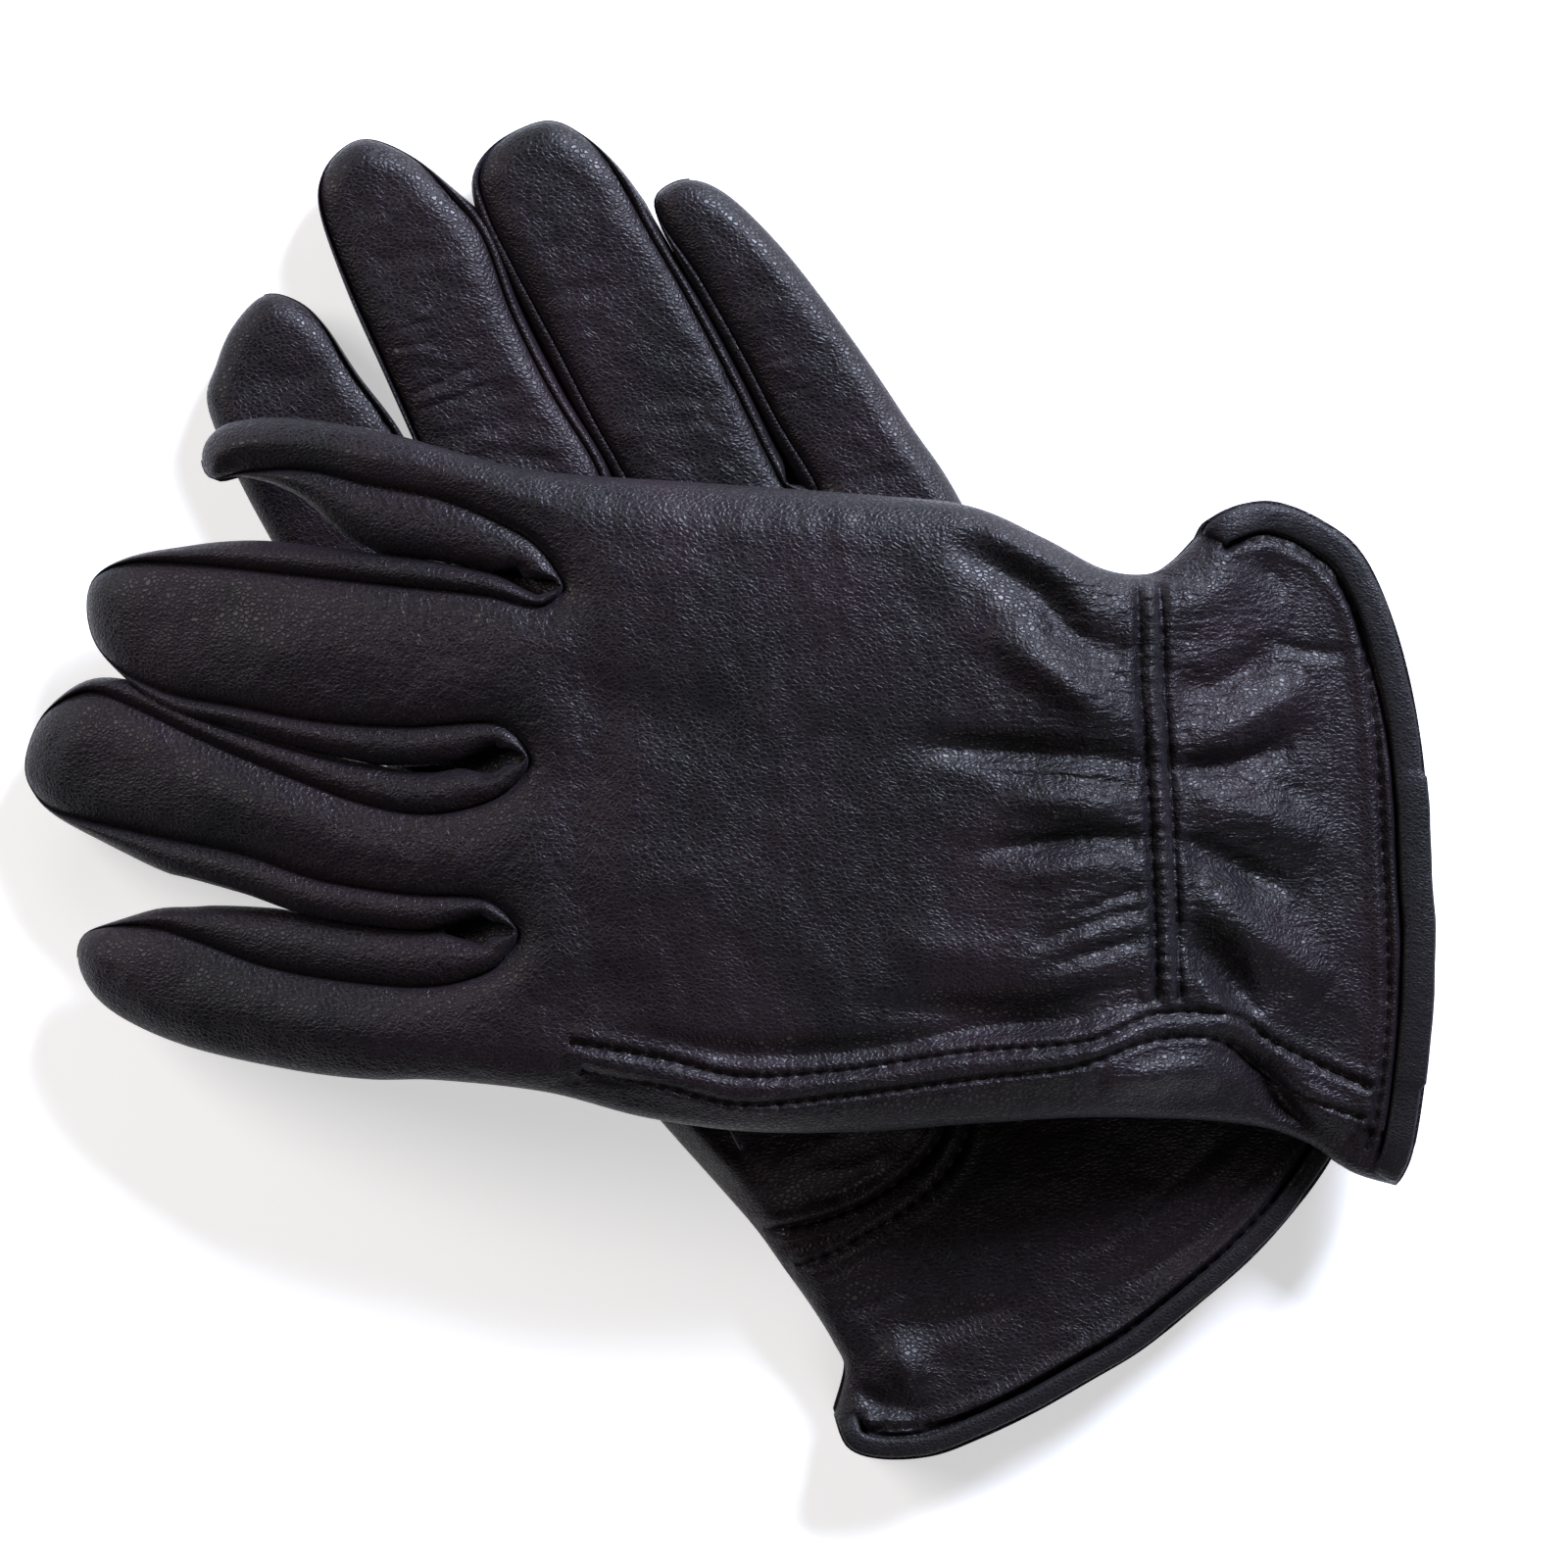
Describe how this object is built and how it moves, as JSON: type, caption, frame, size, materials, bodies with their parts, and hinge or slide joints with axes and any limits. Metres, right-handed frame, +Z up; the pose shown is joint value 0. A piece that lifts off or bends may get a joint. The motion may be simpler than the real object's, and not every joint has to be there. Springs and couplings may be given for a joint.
{
  "type": "pair of leather gloves",
  "caption": "Pair of black leather dress gloves with gathered wrists and bound cuffs, lying crossed: the left palm up, the right on top of it back up.",
  "frame": {"origin": "on the surface the pair lies on, under the middle of its bounding box", "axes": "+Z up; +X towards the cuff of the upper (right) glove; +Y towards the fingertips of the lower (left) glove"},
  "size_m": [0.2516, 0.236, 0.0424],
  "materials": {
    "leather": "soft pebbled leather, satin, black with an aubergine tint",
    "binding": "thin smooth leather strip, satin black",
    "knit_lining": "fine black knit, matt",
    "elastic": "woven black elastic tape, matt",
    "stitching": "black polyester thread, tone on tone"
  },
  "bodies": {
    "left_hand": {"left_back_panel": "leather", "left_hand_lining": "knit_lining", "left_hem_binding": "binding", "left_hem_thread": "stitching", "left_index_sleeve": "leather", "left_middle_sleeve": "leather", "left_palm_panel": "leather", "left_ring_sleeve": "leather", "left_side_thread": "stitching", "left_wrist_elastic": "elastic", "left_wrist_thread": "stitching"},
    "right_hand": {"right_back_panel": "leather", "right_hand_lining": "knit_lining", "right_hem_binding": "binding", "right_hem_thread": "stitching", "right_palm_panel": "leather", "right_side_thread": "stitching", "right_wrist_elastic": "elastic", "right_wrist_thread": "stitching"},
    "left_index": {"left_index_back": "leather", "left_index_fourchette": "leather", "left_index_lining": "knit_lining", "left_index_palm": "leather"},
    "left_middle": {"left_middle_back": "leather", "left_middle_fourchette_in": "leather", "left_middle_fourchette_out": "leather", "left_middle_lining": "knit_lining", "left_middle_palm": "leather"},
    "left_ring": {"left_ring_back": "leather", "left_ring_fourchette_in": "leather", "left_ring_fourchette_out": "leather", "left_ring_lining": "knit_lining", "left_ring_palm": "leather"},
    "left_little": {"left_little_back": "leather", "left_little_fourchette": "leather", "left_little_lining": "knit_lining", "left_little_palm": "leather"},
    "left_thumb": {"left_thumb": "leather", "left_thumb_lining": "knit_lining"},
    "right_index": {"right_index_back": "leather", "right_index_fourchette": "leather", "right_index_lining": "knit_lining", "right_index_palm": "leather"},
    "right_middle": {"right_middle_back": "leather", "right_middle_fourchette_in": "leather", "right_middle_fourchette_out": "leather", "right_middle_lining": "knit_lining", "right_middle_palm": "leather"},
    "right_ring": {"right_ring_back": "leather", "right_ring_fourchette_in": "leather", "right_ring_fourchette_out": "leather", "right_ring_lining": "knit_lining", "right_ring_palm": "leather"},
    "right_little": {"right_little_back": "leather", "right_little_fourchette": "leather", "right_little_lining": "knit_lining", "right_little_palm": "leather"},
    "right_thumb": {"right_thumb": "leather", "right_thumb_lining": "knit_lining"}
  },
  "joints": [
    {"name": "right_glove_lift", "type": "slide", "parent": "left_hand", "child": "right_hand", "axis": [0, 0, 1], "range_m": [0, 0.12]},
    {"name": "left_index_fold", "type": "hinge", "parent": "left_hand", "child": "left_index", "pos_m": [-0.07288, 0.06879, 0.01177], "axis": [0.9272, 0.3746, 0], "range_deg": [0, 60]},
    {"name": "left_middle_fold", "type": "hinge", "parent": "left_hand", "child": "left_middle", "pos_m": [-0.04157, 0.06754, 0.01199], "axis": [0.9225, 0.3859, 0], "range_deg": [0, 60]},
    {"name": "left_ring_fold", "type": "hinge", "parent": "left_hand", "child": "left_ring", "pos_m": [-0.00512, 0.06069, 0.01212], "axis": [0.9135, 0.4067, 0], "range_deg": [0, 60]},
    {"name": "left_little_fold", "type": "hinge", "parent": "left_hand", "child": "left_little", "pos_m": [0.0262, 0.05908, 0.0123], "axis": [0.8572, 0.515, 0], "range_deg": [0, 60]},
    {"name": "right_index_fold", "type": "hinge", "parent": "right_hand", "child": "right_index", "pos_m": [-0.03854, -0.04224, 0.0408], "axis": [0.1219, 0.9925, 0], "range_deg": [0, 50]},
    {"name": "right_middle_fold", "type": "hinge", "parent": "right_hand", "child": "right_middle", "pos_m": [-0.03534, -0.01422, 0.0408], "axis": [0.1908, 0.9816, 0], "range_deg": [0, 50]},
    {"name": "right_ring_fold", "type": "hinge", "parent": "right_hand", "child": "right_ring", "pos_m": [-0.03184, 0.01626, 0.0408], "axis": [0.1392, 0.9903, 0], "range_deg": [0, 50]},
    {"name": "right_little_fold", "type": "hinge", "parent": "right_hand", "child": "right_little", "pos_m": [-0.02914, 0.04227, 0.0408], "axis": [0.165, 0.9863, 0], "range_deg": [0, 50]},
    {"name": "left_thumb_swing", "type": "hinge", "parent": "left_hand", "child": "left_thumb", "pos_m": [0.01523, -0.05482, 0.0175], "axis": [0, 0, 1], "range_deg": [0, 35]},
    {"name": "right_thumb_swing", "type": "hinge", "parent": "right_hand", "child": "right_thumb", "pos_m": [0.05797, -0.03387, 0.0244], "axis": [0, 0, 1], "range_deg": [0, 50]}
  ]
}
